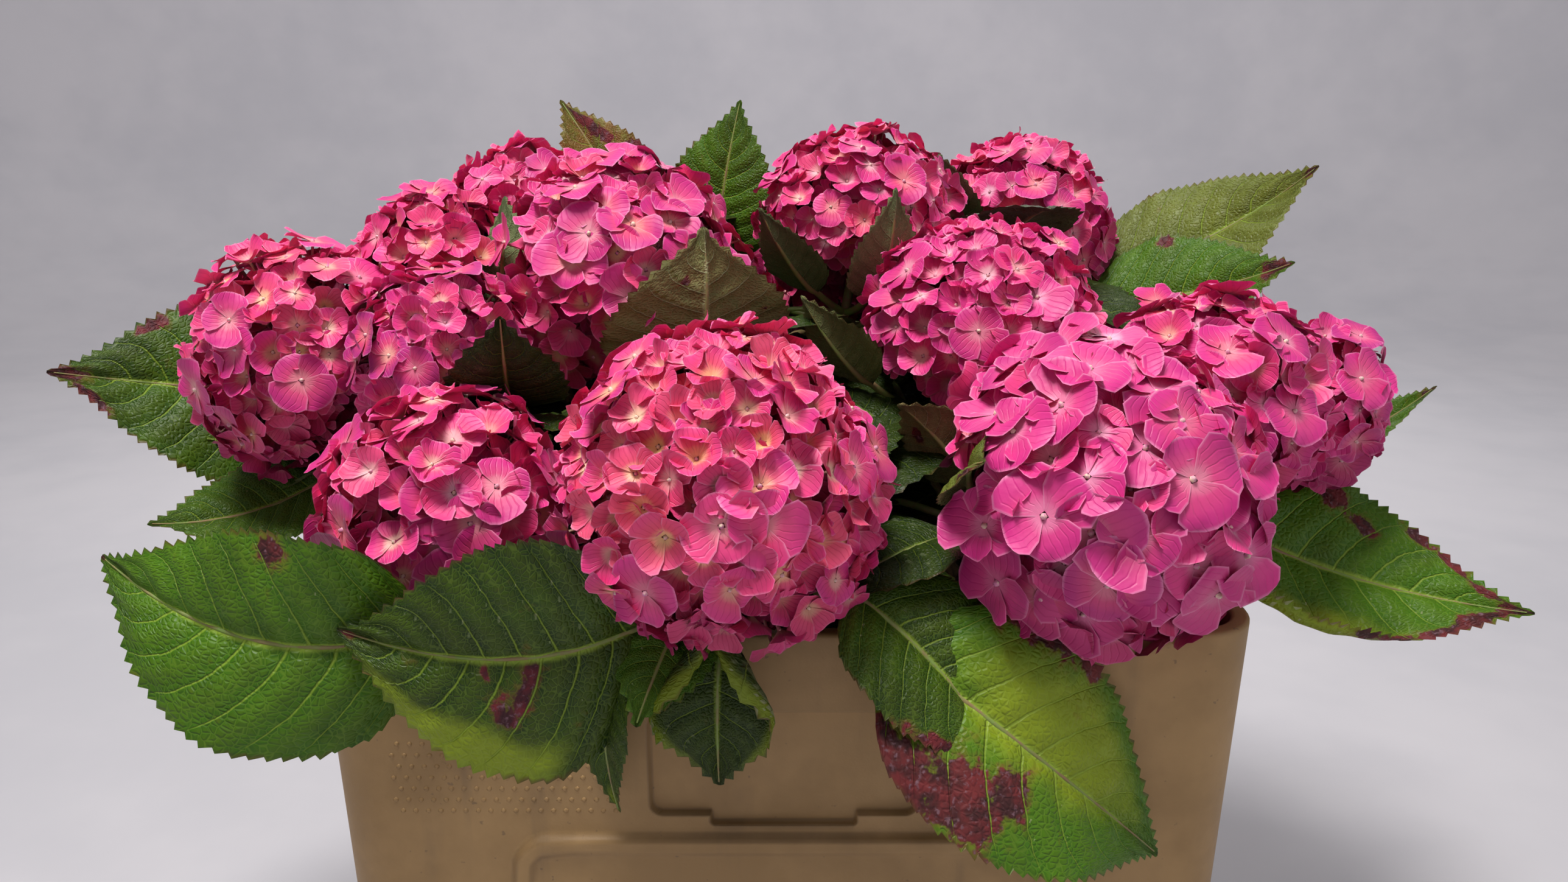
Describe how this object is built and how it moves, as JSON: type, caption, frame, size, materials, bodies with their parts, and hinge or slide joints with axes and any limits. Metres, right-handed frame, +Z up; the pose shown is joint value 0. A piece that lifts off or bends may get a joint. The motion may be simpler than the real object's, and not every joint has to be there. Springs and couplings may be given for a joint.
{
  "type": "hydrangea shrub in a container",
  "caption": "Low hydrangea shrub with round mophead blooms over large toothed leaves, rooted in a rectangular plastic container.",
  "frame": {"origin": "centre of the container's flat underside", "axes": "+Z up, +X along the container's long side, -Y is the front that the picture shows"},
  "size_m": [0.7414, 0.4623, 0.5485],
  "materials": {
    "plastic": "matt, scuffed",
    "compost": "crumbly, damp",
    "bark": "fine bark",
    "leaf": "satin",
    "bloom": "soft matt"
  },
  "bodies": {
    "root": {"container": "plastic", "compost": "compost", "stool": "bark", "cane_front": "bark", "leaves_front": "leaf", "bloom_front": "bloom", "cane_front_left": "bark", "leaves_front_left": "leaf", "bloom_front_left": "bloom", "cane_front_right": "bark", "leaves_front_right": "leaf", "bloom_front_right": "bloom", "cane_left": "bark", "leaves_left": "leaf", "bloom_left": "bloom", "cane_left_inner": "bark", "leaves_left_inner": "leaf", "bloom_left_inner": "bloom", "cane_left_upper": "bark", "leaves_left_upper": "leaf", "bloom_left_upper": "bloom", "cane_back_left": "bark", "leaves_back_left": "leaf", "bloom_back_left": "bloom", "cane_top_left": "bark", "leaves_top_left": "leaf", "bloom_top_left": "bloom", "cane_top": "bark", "leaves_top": "leaf", "bloom_top": "bloom", "cane_top_right": "bark", "leaves_top_right": "leaf", "bloom_top_right": "bloom", "cane_inner_right": "bark", "leaves_inner_right": "leaf", "bloom_inner_right": "bloom", "cane_right": "bark", "leaves_right": "leaf", "bloom_right": "bloom", "cane_right_end": "bark", "leaves_right_end": "leaf", "bloom_right_end": "bloom", "cane_back_right": "bark", "leaves_back_right": "leaf", "bloom_back_right": "bloom", "cane_back_low": "bark", "leaves_back_low": "leaf", "bloom_back_low": "bloom", "cane_back": "bark", "leaves_back": "leaf", "bloom_back": "bloom", "cane_left_back": "bark", "leaves_left_back": "leaf", "bloom_left_back": "bloom"}
  },
  "joints": []
}
